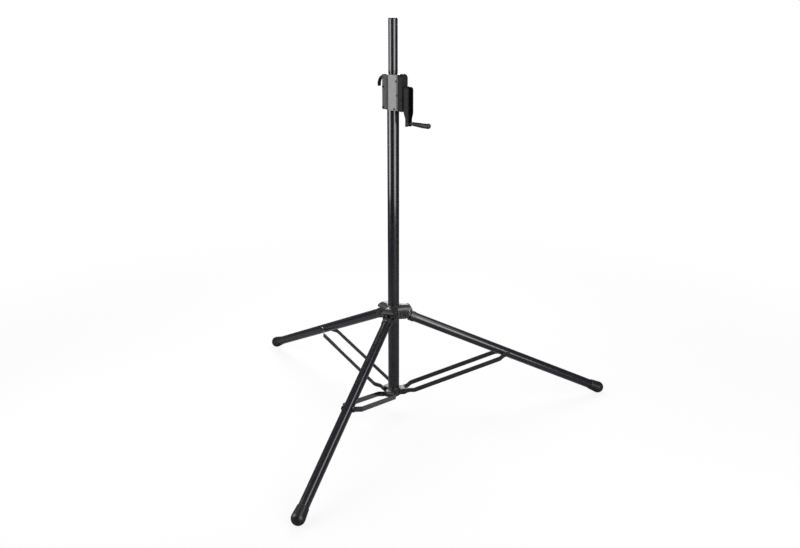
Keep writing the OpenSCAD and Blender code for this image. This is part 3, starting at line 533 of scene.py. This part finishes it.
def dress(piece, node):
    """The piece stands for a solid: it rides on the same body and takes its finish."""
    paint(piece, look_of[node])
    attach(piece, body_of[node])
    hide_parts(node)


# %% [markdown]
# ### Castings, pressings and mouldings
# The head, the leg hub and the collar are castings with generous corners. The crank arm, the lever and
# the brace bars are pressed from sheet, so their corners are tighter. Plastic and rubber parts are
# moulded.

# %% Rounded castings, pressings and mouldings
CORNER_MM = {
    "head_housing": 0.8, "gearbox_cover": 1.2, "bearing_plate": 0.5, "leg_hub": 0.8, "lower_collar": 1.0,
    "crank_arm": 0.7, "lock_lever": 0.8, "grip_sleeve": 0.6, "grip_end_cap": 0.8, "grip_spindle": 0.4,
    "mast_cap": 1.2, "tube_end_plug": 0.8, "clamp_knob": 1.2, "seat_ring": 0.3, "lever_pin": 0.5,
}
for side in SIDES:
    CORNER_MM[side + "_leg_knuckle"] = 0.8
    CORNER_MM[side + "_foot_cap"] = 0.8
    CORNER_MM[side + "_brace_bars"] = 0.5

for node, corner_mm in CORNER_MM.items():
    piece = rounded(node, "shaped_" + node, corner_mm * MM)
    dress(piece, node)
    print(piece.name, len(piece.data.polygons), "faces, corners of", corner_mm, "mm")

# %% [markdown]
# ### Screws, bolts and rivets
# In the solids a fastener is a plain pin with a disc for a head. The real ones are button-head screws
# with a hexagon socket, through bolts with a nut on the far end, and round-head rivets. A head is turned:
# a disc is drawn out ring by ring along a profile, then the socket is cut with a six-sided prism. Each
# kind is modelled once, upright on the origin, and copied to the flat ends that are found on the solids.

# %% Helpers for turned work
TURNED_SIDES = 32
DOME_STEPS = 6


def turned(name, profile):
    """A turned piece, upright on the origin. The profile lists radius and height in millimetres."""
    radius, height = profile[0]
    bpy.ops.mesh.primitive_circle_add(vertices=TURNED_SIDES, radius=radius * MM, fill_type="NGON")
    piece = bpy.context.object
    piece.name = name
    edit(piece)
    bpy.ops.transform.translate(value=(0, 0, height * MM))
    for (r0, z0), (r1, z1) in zip(profile, profile[1:]):
        bpy.ops.mesh.extrude_region_move(TRANSFORM_OT_translate={"value": (0, 0, (z1 - z0) * MM)})
        bpy.ops.transform.resize(value=(r1 / r0, r1 / r0, 1), center_override=(0, 0, z1 * MM))
    bpy.ops.mesh.select_all(action="SELECT")
    bpy.ops.mesh.normals_make_consistent(inside=False)
    done()
    return piece


def domed_end(radius, start, height, crown):
    """Profile of a round head: a quarter of an ellipse from the rim up to a small flat crown."""
    turns = [math.pi / 2 * step / DOME_STEPS for step in range(DOME_STEPS + 1)]
    return [(crown + (radius - crown) * math.cos(a), start + height * math.sin(a)) for a in turns]


def cut(piece, cutter):
    """Take the cutter's shape out of the piece."""
    notch = piece.modifiers.new("cut", "BOOLEAN")
    notch.operation = "DIFFERENCE"
    notch.solver = "EXACT"
    notch.object = cutter
    apply(piece, notch)
    bpy.data.objects.remove(cutter)


def hexagon(radius, start, height, ease_mm=0.0):
    """A six-sided prism, upright, with its edges eased."""
    middle = (start + height / 2) * MM
    bpy.ops.mesh.primitive_cylinder_add(vertices=6, radius=radius * MM, depth=height * MM,
                                        location=(0, 0, middle))
    prism = bpy.context.object
    bpy.ops.object.transform_apply(location=True, rotation=True, scale=True)
    if ease_mm:
        ease = prism.modifiers.new("eased", "BEVEL")
        ease.width = ease_mm * MM
        ease.segments = 2
        apply(prism, ease)
    return prism


def joined(pieces, name):
    """Several pieces as one object."""
    bpy.ops.object.select_all(action="DESELECT")
    for piece in pieces:
        piece.select_set(True)
    bpy.context.view_layer.objects.active = pieces[0]
    if len(pieces) > 1:
        bpy.ops.object.join()
    pieces[0].name = name
    return pieces[0]


def stand_on(piece, foot, axis):
    """Stand an upright piece on a point, along an axis, and apply its place to its mesh."""
    piece.rotation_mode = "QUATERNION"
    piece.rotation_quaternion = Vector((0, 0, 1)).rotation_difference(axis)
    piece.location = foot
    only(piece)
    bpy.ops.object.transform_apply(location=True, rotation=True, scale=True)


# %% [markdown]
# ### One fastener
# From its far end up, a fastener is a shank with an eased tip, the underside of the head, a short
# straight rim and the dome. A screw that is let in to its head has no shank to show, so it starts at the
# rim. All sizes are in millimetres. A bought-in screw model would fit no better, because the pin's length
# and radius are read from the solid.

# %% Helper for one fastener
SHORTEST_SHANK = 0.5
TIP_EASE = 0.3
RIM_EASE = 0.2
RIM_SHARE = 0.35
SOCKET_CROWN = 0.72
PLAIN_CROWN = 0.2
SOCKET_DEPTH = 0.7
NUT_EASE = 0.35


def fastener(length, radius, head, shank, socket=0, nut=0):
    """One screw, bolt or rivet, upright from its far end at the origin."""
    under = length - head
    rim = RIM_SHARE * head
    profile = [(radius, 0)]
    if under > SHORTEST_SHANK:
        profile = [(shank - TIP_EASE, 0), (shank, TIP_EASE), (shank, under), (radius - RIM_EASE, under),
                   (radius, under + RIM_EASE), (radius, under + rim)]
    crown = (SOCKET_CROWN if socket else PLAIN_CROWN) * radius
    pieces = [turned("fastener", profile + domed_end(radius, under + rim, head - rim, crown))]
    if socket:
        depth = SOCKET_DEPTH * head
        cut(pieces[0], hexagon(socket / math.sqrt(3), length - depth, 2 * depth))
    if nut:
        pieces.append(hexagon(radius, head - nut, nut, NUT_EASE))
    return joined(pieces, "fastener")


# %% [markdown]
# ### Where the fasteners go
# A node such as the flange bolts is several pins in one mesh. A copy is split into its loose parts, and
# on each the largest flat end that faces away from the mast is where the head goes. The places could be
# typed in, but measured ones stay right when a size of the stand changes.

# %% Helpers that measure the pins
END_SHARE = 0.6


def outer_ends(part):
    """The flat ends of a pin that face away from the mast: centre, direction and radius."""
    largest = max(face.area for face in part.data.polygons)
    ends = []
    for face in part.data.polygons:
        outward = (face.center - MAST).dot(face.normal) > 0
        if face.area > END_SHARE * largest and outward:
            rim = [part.data.vertices[i].co for i in face.vertices]
            middle = sum(rim, Vector()) / len(rim)
            ends.append((middle, face.normal.copy(), max((point - middle).length for point in rim)))
    return ends


def pins_of(node):
    """Every separate pin of a node: its far end, its direction, its radius and its length."""
    edit(welded_copy(node, "gauge"))
    bpy.ops.mesh.separate(type="LOOSE")
    done()
    pins = []
    for part in list(bpy.context.selected_objects):
        middle, axis, radius = outer_ends(part)[0]
        length = max((middle - point.co).dot(axis) for point in part.data.vertices)
        pins.append((middle - axis * length, axis, radius / MM, length / MM))
        bpy.data.objects.remove(part)
    return pins


# %% Screws, bolts and rivets
HEAD_CREASE = 32
FASTENERS = {
    "flange_bolts": {"head": 3.0, "shank": 3.0, "socket": 4.0, "nut": 2.6},
    "housing_screws": {"head": 1.6, "shank": 4.0, "socket": 3.0},
    "cover_screws": {"head": 1.2, "shank": 2.6, "socket": 2.0},
    "stop_screw": {"head": 2.8, "shank": 2.5, "socket": 4.0},
    "crank_screw": {"head": 2.2, "shank": 2.2, "socket": 2.5},
    "grip_pin": {"head": 1.8, "shank": 2.5, "nut": 1.8},
    "leg_pivot_bolts": {"head": 3.0, "shank": 5.0, "socket": 5.0, "nut": 2.6},
    "collar_pivot_bolts": {"head": 3.0, "shank": 4.0, "socket": 5.0, "nut": 2.6},
}
for side in SIDES:
    FASTENERS[side + "_brace_rivets"] = {"head": 3.0, "shank": 4.0}

for node, sizes in FASTENERS.items():
    pins = pins_of(node)
    copies = []
    _, _, radius, length = pins[0]
    master = fastener(length, radius, **sizes)
    for foot, axis, _, _ in pins:
        only(master)
        bpy.ops.object.duplicate()
        copies.append(bpy.context.object)
        stand_on(copies[-1], foot, axis)
    bpy.data.objects.remove(master)
    piece = joined(copies, "turned_" + node)
    smooth(piece, HEAD_CREASE)
    dress(piece, node)
    print(piece.name, len(pins), "of radius", round(radius, 2), "and length", round(length, 2), "mm")
